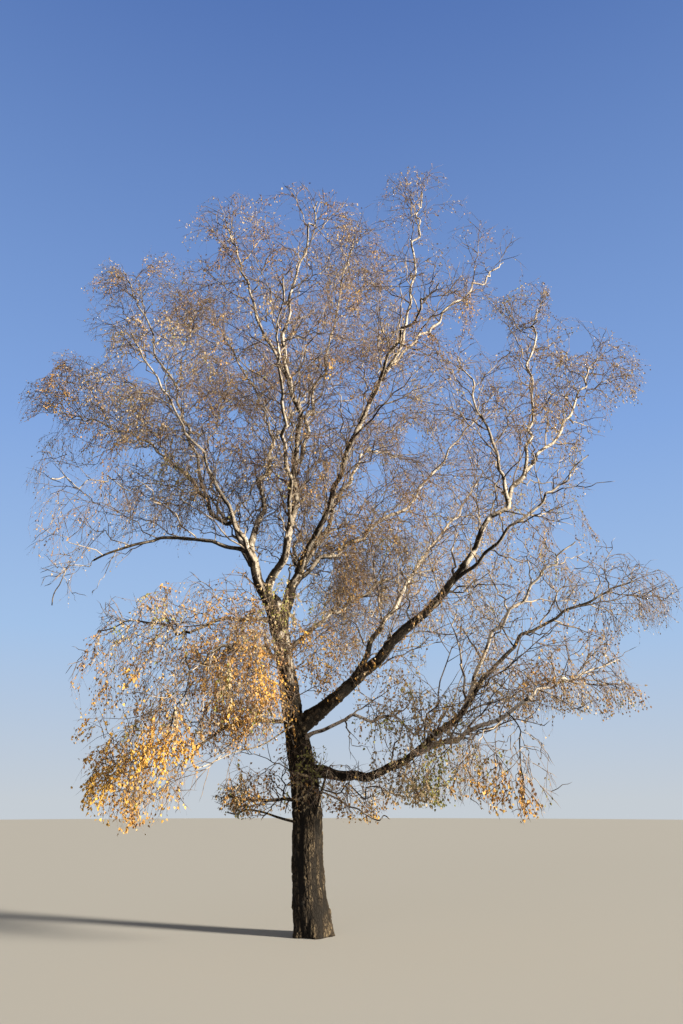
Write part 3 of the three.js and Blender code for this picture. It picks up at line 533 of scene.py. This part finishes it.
def sprout(parents, rate, first, last):
    """Where shoots leave their parents: host, share of the way along it, and turn by the golden angle."""
    count = np.floor(parents.length * rate + RANDOM.uniform(size=len(parents.length))).astype(int)
    host = np.repeat(np.arange(len(count)), count)
    number = np.arange(len(host)) - np.repeat(np.cumsum(count) - count, count)
    share = first + (last - first) * (number + 0.5 + RANDOM.uniform(-0.4, 0.4, len(host))) / count[host]
    start = RANDOM.uniform(0, 6.3, len(count))
    return host, share, GOLDEN_ANGLE * number + start[host]


def grow_boughlets(limbs, stems):
    """Boughlets off the stems by the golden angle, wide at the foot and narrow at the end, off limbs and trunk."""
    rows = []

    def add(root, heading, angle, start, radius, far, hang):
        """Notes a set of shoots, with the turn at which the first of them leaves."""
        turn = GOLDEN_ANGLE * np.arange(len(root)) + start
        rows.append([root, heading, *(np.full(len(root), value) for value in (angle, turn, radius, far, hang))])

    for index, stem in enumerate(stems):
        shares = np.linspace(0, 1, 51)
        inside = np.linalg.norm((stem.point(shares) - MIDDLES[index]) / REACHES[index], axis=1) < 1.15
        entry = max(0.1, shares[np.argmax(inside)] - 0.3)
        count = int(STEM_BOUGHLETS * np.clip(DENSITIES[index], 1, 2))
        rise = (np.arange(count) + 0.5) / count
        share = entry + (0.96 - entry) * rise
        add(stem.point(share), stem.heading(share), 0.85 * (FOOT_SPREAD + (END_SPREAD - FOOT_SPREAD) * rise),
            6.3 * chance(17 * index + 3, 4), np.minimum(0.012, 0.6 * stem.radius(share)),
            1.2 * REACHES[index].mean() * RANDOM.uniform(0.7, 1.1, count), -0.15)
    for limb in limbs.values():
        first = 0.4 if limb.radii[0] > 0.07 else 0.15
        count = int((0.97 - first) * limb.length / BOUGH_SHOOT_STEP)
        share = first + (0.97 - first) * (np.arange(count) + 0.5) / count
        add(limb.point(share), limb.heading(share), RANDOM.uniform(0.45, 1.0, count),
            6.3 * chance(limb.seed, 8), np.minimum(0.018, 0.5 * limb.radius(share)) * RANDOM.uniform(0.6, 1, count),
            RANDOM.uniform(0.6, 1.7, count), -0.2)
    for name, (first, last, count) in FRINGES.items():
        share = np.linspace(first, last, count)
        add(limbs[name].point(share), limbs[name].heading(share), RANDOM.uniform(0.9, 1.3, count),
            0, 0.008, RANDOM.uniform(0.6, 1.1, count), 0.9)
    share = np.linspace(0.36, 0.98, TRUNK_SHOOTS)
    add(trunk_point(share), np.tile(UP, (TRUNK_SHOOTS, 1)), RANDOM.uniform(0.9, 1.4, TRUNK_SHOOTS),
        0, 0.009, RANDOM.uniform(0.7, 1.2, TRUNK_SHOOTS), -0.15)
    roots, ahead, spread, turn, thick, reach, hang = (np.concatenate(column) for column in zip(*rows))
    direction = leave(ahead, spread, turn, hang)
    mass = np.argmin(mass_shares(roots + direction * (0.8 * reach)[:, None]), axis=0)
    sag = np.where(hang > 0, 0.3, 0.14 * DROOPS[mass] - 0.08)
    return grown(roots, direction, reach, sag, 9, 0.024, thick, 0.35 * thick, mass, 0.7)


def next_order(parents, name, rate):
    """The shoots of one order off the order before it, by the row that the order has."""
    along, spread, hang, stretch, spans, sag, steps, kink, (thick, thin), least = ORDERS[name]
    host, share, turn = sprout(parents, rate, *along)
    root, ahead = parents.at(host, share)
    mass = parents.mass[host]
    droop = DROOPS[mass]
    count = len(host)
    direction = leave(ahead, RANDOM.uniform(*spread, count), turn, hang[0] + hang[1] * droop)
    length = (stretch[0] + stretch[1] * droop) * RANDOM.uniform(*spans, count)
    if name == "branches":
        length = np.clip(parents.length[host] * (0.8 - 0.45 * share) * length, *BRANCH_LENGTHS)
    return grown(root, direction, length, sag[0] + sag[1] * droop, steps, kink, np.full(count, thick),
                 np.full(count, thin), mass, least)


def grow_orders(boughlets):
    """Branches, twigs, strands in tufts and sprigs, each off the one before."""
    mild = np.clip(thickness(boughlets.lines.mean(1)), 0.3, 1.3) ** 0.5
    branches = next_order(boughlets, "branches", BRANCH_RATE * mild)
    twigs = next_order(branches, "twigs", TWIG_RATE * thickness(branches.lines.mean(1)))
    clump = 0.25 + 1.65 * tufts(twigs.lines.mean(1))
    fewer = np.array([FOLIAGE[row[5]][2] for row in MASSES.values()])
    strands = next_order(twigs, "strands", STRAND_RATE * clump * fewer[twigs.mass])
    return branches, twigs, strands, next_order(strands, "sprigs", SPRIG_RATE)


def ring_quads(rings, sides):
    """Faces between rings of vertices."""
    ring, side = np.meshgrid(np.arange(rings - 1), np.arange(sides), indexing="ij")
    after = (side + 1) % sides
    quads = [ring * sides + side, ring * sides + after, (ring + 1) * sides + after, (ring + 1) * sides + side]
    return np.stack(quads, -1).reshape(-1, 4)


def tube_arrays(centres, radii, sides, pointed):
    """Vertices and faces of many tubes: centres n by k by 3, radii n by k."""
    count, rings = centres.shape[:2]
    ahead = unit(np.gradient(centres, axis=1))
    chord = unit(centres[:, -1] - centres[:, 0])
    upright = np.abs(chord[:, 2]) > 0.75
    reference = np.where(upright[:, None], np.array([1.0, 0, 0]), np.array([0, 0, 1.0]))[:, None]
    across = unit(np.cross(reference, ahead))
    over = np.cross(ahead, across)
    angle = np.arange(sides) * 2 * np.pi / sides
    ring = over[:, :, None] * np.cos(angle)[:, None] + across[:, :, None] * np.sin(angle)[:, None]
    places = centres[:, :, None] + radii[:, :, None, None] * ring
    whole = rings - 1 if pointed else rings
    per = whole * sides + (1 if pointed else 0)
    vertices = places[:, :whole].reshape(count, whole * sides, 3)
    if pointed:
        vertices = np.concatenate([vertices, centres[:, -1:]], axis=1)
    start = (np.arange(count) * per)[:, None, None]
    quads = (ring_quads(whole, sides)[None] + start).reshape(-1, 4)
    last = (whole - 1) * sides + np.arange(sides)
    ends = np.stack([last, (whole - 1) * sides + (np.arange(sides) + 1) % sides, np.full(sides, per - 1)], -1)
    triangles = (ends[None] + start).reshape(-1, 3) if pointed else np.zeros((0, 3), int)
    return vertices.reshape(-1, 3), quads, triangles


def mesh_piece(name, vertices, quads, triangles, material, attributes=()):
    """A mesh object from arrays, smooth shaded, riding on the one body, with named values on its vertices."""
    mesh = bpy.data.meshes.new(name)
    sizes = np.concatenate([np.full(len(quads), 4), np.full(len(triangles), 3)])
    corners = np.concatenate([quads.reshape(-1), triangles.reshape(-1)]).astype(np.int32)
    mesh.vertices.add(len(vertices))
    mesh.vertices.foreach_set("co", np.ascontiguousarray(vertices, np.float32).reshape(-1))
    mesh.loops.add(len(corners))
    mesh.loops.foreach_set("vertex_index", corners)
    mesh.polygons.add(len(sizes))
    mesh.polygons.foreach_set("loop_start", np.concatenate([[0], np.cumsum(sizes)[:-1]]).astype(np.int32))
    mesh.update(calc_edges=True)
    mesh.polygons.foreach_set("use_smooth", np.ones(len(sizes), bool))
    for label, values in attributes:
        kind, key = ("FLOAT", "value") if values.ndim == 1 else ("FLOAT_VECTOR", "vector")
        field = mesh.attributes.new(label, kind, "POINT")
        field.data.foreach_set(key, values.astype(np.float32).reshape(-1))
    mesh.materials.append(material)
    piece = bpy.data.objects.new(name, mesh)
    bpy.context.collection.objects.link(piece)
    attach(piece, "root")
    return piece


def bark_relief(turn, along, count, length, seed):
    """Bark from 0 in a crack to 1 on the highest plates: broken plates between long wandering fissures."""
    angle = 2 * np.pi * turn
    ring = count / (2 * np.pi)
    field = round_axis(angle, ring, along / length)
    u = turn * count + 1.0 * (noise(0.45 * field, seed) - 0.5)
    v = along / length + 0.8 * (noise(0.6 * field, seed + 1) - 0.5)
    nearest, second = np.full(u.shape, 9.0), np.full(u.shape, 9.0)
    height = np.zeros(u.shape)
    for du in (-1, 0, 1):
        for dv in (-1, 0, 1):
            column, row = np.floor(u) + du, np.floor(v) + dv
            key = 7 * (column % count) + 3.1 * row + seed
            away = np.hypot(u - column - 0.5 - 0.9 * (chance(key, 1) - 0.5),
                            v - row - 0.5 - 0.9 * (chance(key, 2) - 0.5))
            closer = away < nearest
            second = np.where(closer, nearest, np.minimum(second, away))
            height = np.where(closer, chance(key, 3), height)
            nearest = np.where(closer, away, nearest)
    plate = smooth(0.0, 0.2, second - nearest) * (0.35 + 0.65 * height)
    long = round_axis(angle, 0.6 * ring, 0.25 * along / length)
    fissure = smooth(0.0, 0.2, np.abs(noise(long, seed + 3) - 0.5))
    return plate * (0.1 + 0.9 * fissure)


def trunk_piece(material):
    """The trunk: level rings on its lean, a lobed foot, a domed top, and deep bark ridges."""
    around, up = 170, 230
    height = TRUNK_HEIGHT * (np.linspace(0, 1, up) ** 0.94)
    turn = np.arange(around) / around
    h, t = np.meshgrid(height, turn, indexing="ij")
    angle = 2 * np.pi * t
    fade = np.clip(1 - h / FLARE_HEIGHT, 0, 1)
    near = [trunk_ring(h + shift, 2) for shift in (-0.12, 0, 0.12)]
    radius = (near[0] + 2 * near[1] + near[2]) / 4
    radius = radius * (1 + FLARE_DEPTH * fade * fade * np.cos(FLARE_LOBES * angle))
    ridge = bark_relief(t, h, 30, 0.15, 11)
    lump = noise(round_axis(angle, 2.2, 2.6 * h), 4) - 0.5
    rough = noise(round_axis(angle, 30, 34 * h), 7) - 0.5
    depth = 0.018 * smooth(4.4, 2.6, h) + 0.01
    radius = radius + 0.03 * lump + depth * (ridge - 0.6) + 0.012 * rough * (0.3 + ridge)
    radius = radius * np.sqrt(np.clip((TRUNK_HEIGHT - h) / 0.08, 0, 1))
    lean = trunk_ring(h, 1)
    flat = round_axis(angle, radius, h)
    vertices = flat + np.stack([lean, 0 * lean, 0 * lean], -1)
    vertices, flat = (np.vstack([places.reshape(-1, 3), [[0, 0, 0]]]) for places in (vertices, flat))
    edge = np.arange(around)
    triangles = np.stack([(edge + 1) % around, edge, np.full(around, around * up)], -1)
    ridge = np.append(smooth(0.04, 0.5, ridge).reshape(-1), 0.5)
    rise = 0.7 * smooth(2.3, 4.2, vertices[:, 2]) * smooth(4.38, 4.1, vertices[:, 2])
    pale = smooth(0.3, 0.7, rise + 0.8 * (noise(vertices * (9, 9, 5), 15) - 0.5))
    piece = mesh_piece("trunk_bark", vertices, ring_quads(up, around), triangles, material,
                       (("ridge", ridge), ("pale", pale), ("straight", flat)))
    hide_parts("trunk")


def skin_arrays(path, sides, spacing, relief, tone, lift, blunt):
    """A limb's skin: rings along its path, a collar where it leaves its parent, and bark that turns pale, with
    painted shade that darkens the side away from the sun.
    """
    steps = max(6, int(path.length / spacing))
    share = np.linspace(0, 1, steps + 1)
    centre = path.point(share)
    radius = path.radius(share)
    along = share * path.length
    radius = radius * (1 + 0.45 * np.exp(-np.maximum(along - 0.8 * path.hidden, 0) / (2.2 * path.radii[0])))
    if blunt:
        radius = radius * np.sqrt(np.clip((1.0001 - share) * path.length / path.radii[1], 0, 1))
    turn = np.arange(sides) / sides
    h, t = np.meshgrid(along, turn, indexing="ij")
    angle = 2 * np.pi * t
    thin = smooth(0.055, 0.02, path.radius(share))
    pale = tone * (0.85 * smooth(4.0, 5.4, centre[:, 2] + lift) + 0.4 * thin)[:, None]
    field = round_axis(angle, 2.5, 4.0 * h) + (path.seed, 0, 0)
    shape, quads, _ = tube_arrays(centre[None], np.ones((1, steps + 1)), sides, False)
    spokes = shape.reshape(steps + 1, sides, 3) - centre[:, None]
    # Painted shade: the bark is made less pale, so darker, on the side of each limb that faces away from the sun,
    # towards the lower left
    painted_shade = smooth(-0.35, 0.5, spokes @ np.array([-0.83, 0.1, -0.55]))
    pale = smooth(0.34, 0.62, pale + 0.75 * (noise(field, path.seed) - 0.5) - (0.5 if tone > 1 else 0.95) * painted_shade)
    ridge = bark_relief(t, h, max(7, round(2 * math.pi * path.radii[0] / 0.036)), 0.08, path.seed)
    knots = noise(round_axis(angle, 1.5, 7 * h), path.seed + 2) - 0.5
    girth = radius[:, None] * (1 + 0.2 * knots + relief * (ridge - 0.6) * (1 - 0.8 * pale))
    places = centre[:, None] + spokes * girth[..., None]
    straight = round_axis(angle, girth, h + 7.3 * path.seed)
    ridge = smooth(0.04, 0.5, ridge)
    return places.reshape(-1, 3), quads, ridge.reshape(-1), pale.reshape(-1), straight.reshape(-1, 3)


def bark_piece(name, parts, material, nodes):
    """Several skins as one piece, in place of the nodes that it stands for."""
    starts = np.cumsum([0] + [len(part[0]) for part in parts])
    quads = np.concatenate([part[1] + start for part, start in zip(parts, starts)])
    places, ridge, pale, straight = (np.concatenate([part[i] for part in parts]) for i in (0, 2, 3, 4))
    piece = mesh_piece(name, places, quads, np.zeros((0, 3), int), material,
                       (("ridge", ridge), ("pale", pale), ("straight", straight)))
    if nodes:
        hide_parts(*nodes)


def limb_pieces(limbs, stems, material):
    """The boughs, a piece for the heavy ones and a piece for the others, and the stems of the masses."""
    heavy = [name for name, limb in limbs.items() if limb.radii[0] > 0.07]
    light = [name for name in limbs if name not in heavy]
    for piece, names, sides, spacing, relief, slot in (("heavy_boughs", heavy, 30, 0.016, 0.2, "bark"),
                                                       ("pale_boughs", light, 14, 0.03, 0.25, "white_bark")):
        parts = [skin_arrays(limbs[name], sides, spacing, relief, *LIMBS[name][7:], True) for name in names]
        bark_piece(piece, parts, material, names)
    parts = [skin_arrays(stem, 8, 0.05, 0.1, max(smooth(2.5, 5.5, row[3][2]), 1.1 * (name in PALE_STEMS)),
                         3 * (name in PALE_STEMS), False) for stem, (name, row) in zip(stems, MASSES.items())]
    bark_piece("mass_stems", parts, material, MASSES)
    parts = []
    for number, (places, thick, thin, tone) in enumerate(LOW_BRANCHES.values()):
        path = Path(smooth_row(np.array(places)), (thick, thin), 0, 90 + number)
        parts.append(skin_arrays(path, 8, 0.03, 0.15, tone, 3, True))
    bark_piece("low_branches", parts, material, ())


def twig_pieces(name, twigs, sides, material, parts=1):
    """Many twigs as pointed tubes, in one mesh or in a few of equal size."""
    for number, chosen in enumerate(np.array_split(np.arange(len(twigs.length)), parts)):
        steps = twigs.lines.shape[1] - 1
        share = np.linspace(0, 1, steps + 1)
        radii = twigs.thick[chosen, None] + share * (twigs.thin - twigs.thick)[chosen, None]
        vertices, quads, triangles = tube_arrays(twigs.lines[chosen], radii, sides, True)
        mesh_piece(name if parts == 1 else f"{name}_{number + 1}", vertices, quads, triangles, material)


def grow_leaves(twigs):
    """Leaves along twigs: where each is, how it lies, its size, and the tint of its spray."""
    columns = zip(*(FOLIAGE[row[5]] for row in MASSES.values()))
    leafy, size, _, shares = (np.array(column)[twigs.mass] for column in columns)
    shares = np.cumsum(shares, axis=1)
    middle = twigs.lines.mean(1)
    dealt = 0.8 * noise(middle * 2.0, TINT_SEED) + 0.2 * RANDOM.uniform(size=len(middle))
    dealt = np.clip((dealt - 0.2) / 0.6, 0, 0.999)
    tint = np.minimum((dealt[:, None] > shares).sum(1), len(TINTS) - 1)
    thick_of = 0.3 + 1.6 * tufts(middle + 0.1)
    count = np.floor(leafy * thick_of * twigs.length + RANDOM.uniform(size=len(leafy))).astype(int)
    host = np.repeat(np.arange(len(count)), count)
    root, ahead = twigs.at(host, RANDOM.uniform(0.1, 1.0, len(host)))
    scatter = RANDOM.normal(size=(len(host), 3))
    direction = unit(0.4 * ahead + 0.75 * unit(scatter) - UP * LEAF_HANG)
    side = unit(np.cross(direction, RANDOM.normal(size=(len(host), 3))))
    length = size[host] * RANDOM.uniform(0.7, 1.3, len(host))
    return root, direction, side, length, tint[host]


def leaf_pieces(leaves, materials):
    """The leaves of each tint as one mesh: small ones of two faces, broad ones of four."""
    root, direction, side, length, tint = leaves
    face = np.cross(side, direction)
    for index, (label, (_, slot)) in enumerate(TINTS.items()):
        parts, triangles, total = [], [], 0
        for broad, outline in enumerate(OUTLINES):
            fan = np.array([(0, corner, corner + 1) for corner in range(1, len(outline) - 1)])
            chosen = (tint == index) & ((length > BROAD_LENGTH) == broad)
            shape = (outline[:, 0, None] * side[chosen][:, None] + outline[:, 1, None] * direction[chosen][:, None]
                     + outline[:, 2, None] * face[chosen][:, None])
            places = root[chosen][:, None] + length[chosen][:, None, None] * shape
            count = len(places)
            parts.append(places.reshape(-1, 3))
            triangles.append((fan + total + len(outline) * np.arange(count)[:, None, None]).reshape(-1, 3))
            total += count * len(outline)
        mesh_piece("leaves_" + label, np.concatenate(parts), np.zeros((0, 4), int), np.concatenate(triangles),
                   materials[label])


def new_material(name, colour, roughness):
    """A plain material, its node tree and its shader."""
    material = bpy.data.materials.new(name)
    material.use_nodes = True
    shader = material.node_tree.nodes["Principled BSDF"]
    shader.inputs["Base Color"].default_value = (*colour, 1)
    shader.inputs["Roughness"].default_value = roughness
    shader.inputs["Specular IOR Level"].default_value = 0.25
    return material, material.node_tree, shader


def add_node(tree, kind, inputs=None, **settings):
    """A node with its settings. Each of its inputs gets a plain value, or a link where an output is given."""
    node = tree.nodes.new("ShaderNode" + kind)
    for name, value in settings.items():
        setattr(node, name, value)
    for name, value in (inputs or {}).items():
        if isinstance(value, bpy.types.NodeSocket):
            tree.links.new(value, node.inputs[name])
        else:
            node.inputs[name].default_value = value
    return node


def blend_colours(tree, factor, one, other):
    """A mix of two colours or links by a factor link."""
    one, other = ((*value, 1) if isinstance(value, tuple) else value for value in (one, other))
    return add_node(tree, "Mix", {0: factor, 6: one, 7: other}, data_type="RGBA").outputs[2]


def sharpened(tree, value, low, high):
    """A value link as 0 below low and 1 above high, with soft ends."""
    ramp = add_node(tree, "MapRange", {"Value": value, "From Min": low, "From Max": high},
                    interpolation_type="SMOOTHSTEP")
    return ramp.outputs["Result"]


def stretched_noise(tree, where, scale, detail, low, high):
    """Noise on the limb's own straightened coordinates, sharpened between two levels."""
    mapped = add_node(tree, "Mapping", {"Vector": where, "Scale": scale}).outputs["Vector"]
    settings = {"Vector": mapped, "Scale": 1.0, "Detail": detail, "Roughness": 0.6}
    pattern = add_node(tree, "TexNoise", settings)
    return sharpened(tree, pattern.outputs["Fac"], low, high)


def cracks(tree, where):
    """0 in the narrow cracks between small upright plates, 1 on the plates."""
    bend = add_node(tree, "TexNoise", {"Vector": where, "Scale": 22.0, "Detail": 2.0}).outputs["Color"]
    moved = add_node(tree, "VectorMath", {0: bend, 1: (0.035, 0.035, 0.05), 2: where},
                     operation="MULTIPLY_ADD").outputs["Vector"]
    mapped = add_node(tree, "Mapping", {"Vector": moved, "Scale": (42, 42, 13)}).outputs["Vector"]
    cells = add_node(tree, "TexVoronoi", {"Vector": mapped, "Scale": 1.0}, feature="DISTANCE_TO_EDGE")
    return sharpened(tree, cells.outputs["Distance"], 0.02, 0.13)


def bark_material(name):
    """Dark furrowed bark that turns to white papery bark with dark bands, by the values on the mesh. On the limbs the
    pale value also holds painted shade, dark on the side away from the sun.
    """
    material, tree, shader = new_material(name, (0.2, 0.16, 0.13), 0.85)
    ridge, pale, where = (add_node(tree, "Attribute", attribute_name=label).outputs[output]
                          for label, output in (("ridge", "Fac"), ("pale", "Fac"), ("straight", "Vector")))
    crack = cracks(tree, where)
    lichen, grain, tone, bands, patches = (stretched_noise(tree, where, *row) for row in BARK_PATTERNS.values())
    plate = blend_colours(tree, lichen, (0.045, 0.034, 0.023), (0.3, 0.23, 0.14))
    plate = blend_colours(tree, grain, plate, (0.075, 0.055, 0.035))
    plate = blend_colours(tree, crack, (0.02, 0.016, 0.012), plate)
    dark = blend_colours(tree, ridge, (0.016, 0.013, 0.01), plate)
    white = blend_colours(tree, tone, (0.62, 0.53, 0.41), (0.88, 0.8, 0.68))
    white = blend_colours(tree, bands, white, (0.12, 0.09, 0.07))
    white = blend_colours(tree, patches, white, (0.06, 0.045, 0.035))
    # On the limbs the pale value holds painted shade too, so the dark bark shows on the side away from the sun
    tree.links.new(blend_colours(tree, pale, dark, white), shader.inputs["Base Color"])
    height = blend_colours(tree, pale, crack, (1, 1, 1))
    bump = add_node(tree, "Bump", {"Height": height, "Strength": 0.9, "Distance": 0.008})
    tree.links.new(bump.outputs["Normal"], shader.inputs["Normal"])
    return material


def bark_twig(name, light, dark):
    """A thin branch's bark: light with dark stretches."""
    material, tree, shader = new_material(name, light, 0.8)
    where = add_node(tree, "TexCoord").outputs["Object"]
    patches = stretched_noise(tree, where, (7, 7, 7), 2, 0.42, 0.58)
    tree.links.new(blend_colours(tree, patches, dark, light), shader.inputs["Base Color"])
    return material


def make_world():
    """An even fill on the tree, and behind it a plain gradient of sky blue that only the camera sees."""
    world = bpy.data.worlds.new("studio")
    world.use_nodes = True
    tree = world.node_tree
    fill = tree.nodes["Background"]
    fill.inputs["Color"].default_value = (*FILL_COLOUR, 1)
    fill.inputs["Strength"].default_value = FILL_STRENGTH
    where = add_node(tree, "TexCoord").outputs["Generated"]
    upward = add_node(tree, "SeparateXYZ", {0: where}).outputs["Z"]
    sky = add_node(tree, "ValToRGB", {"Fac": upward})
    stops = sky.color_ramp.elements
    stops[1].position = SKY[-1][0]
    for height, _ in SKY[1:-1]:
        stops.new(height)
    for stop, (_, colour) in zip(stops, SKY):
        stop.color = (*colour, 1)
    backdrop = add_node(tree, "Background", {"Color": sky.outputs["Color"], "Strength": 1.0})
    seen = add_node(tree, "LightPath").outputs["Is Camera Ray"]
    mixed = add_node(tree, "MixShader", {0: seen, 1: fill.outputs[0], 2: backdrop.outputs[0]})
    tree.links.new(mixed.outputs[0], tree.nodes["World Output"].inputs[0])
    bpy.context.scene.world = world


def make_suns():
    """Sun lamps with soft edges."""
    for name, (energy, width, colour, heading) in SUNS.items():
        lamp = bpy.data.lights.new(name, "SUN")
        lamp.energy = energy
        lamp.angle = math.radians(width)
        lamp.color = colour
        sun = bpy.data.objects.new(name, lamp)
        sun.rotation_mode = "QUATERNION"
        sun.rotation_quaternion = Vector(heading).to_track_quat("-Z", "Y")
        bpy.context.collection.objects.link(sun)


def make_stage():
    """A plain pale floor, the backdrop and the lights."""
    bpy.ops.mesh.primitive_circle_add(vertices=96, radius=70, fill_type="NGON", location=(0, 0, -0.004))
    floor = bpy.context.object
    floor.name = "floor"
    floor.data.materials.append(new_material("floor", FLOOR_COLOUR, 0.95)[0])
    floor.visible_diffuse = False
    make_world()
    make_suns()
    bpy.context.scene.view_settings.view_transform = "Standard"


def make_camera():
    """The photograph's view: eye level, looking slightly up, with a wide lens."""
    lens = bpy.data.cameras.new("camera")
    lens.sensor_width = 36
    lens.lens = LENS
    lens.clip_end = 400
    camera = bpy.data.objects.new("camera", lens)
    camera.location = tuple(VIEWPOINT)
    camera.rotation_euler = (math.radians(90 + TILT), 0, 0)
    bpy.context.collection.objects.link(camera)
    bpy.context.scene.camera = camera


def make_tree():
    """Grows the tree from the trunk outward, then makes its pieces."""
    limbs = grow_limbs()
    stems = grow_stems(limbs)
    boughlets = grow_boughlets(limbs, stems)
    branches, twigs, strands, sprigs = grow_orders(boughlets)
    bark = bark_material("bark")
    trunk_piece(bark)
    limb_pieces(limbs, stems, bark)
    twig_pieces("boughlets", boughlets, 5, bark_twig("pale_bough", *BOUGHLET_BARK))
    twig_pieces("branches", branches, 3, bark_twig("pale_twig", *BRANCH_BARK))
    twig_pieces("twigs", twigs, 3, new_material("brown_twig", TWIG_COLOUR, 0.8)[0])
    fine = new_material("fine_twig", FINE_TWIG_COLOUR, 0.8)[0]
    twig_pieces("strands", strands, 3, fine, 2)
    twig_pieces("sprigs", sprigs, 3, fine, 2)
    materials = {label: new_material("leaf_" + label, colour, 0.6)[0] for label, (colour, _) in TINTS.items()}
    leaf_pieces([np.concatenate(pair) for pair in zip(grow_leaves(strands), grow_leaves(sprigs))], materials)


make_tree()
make_stage()
make_camera()
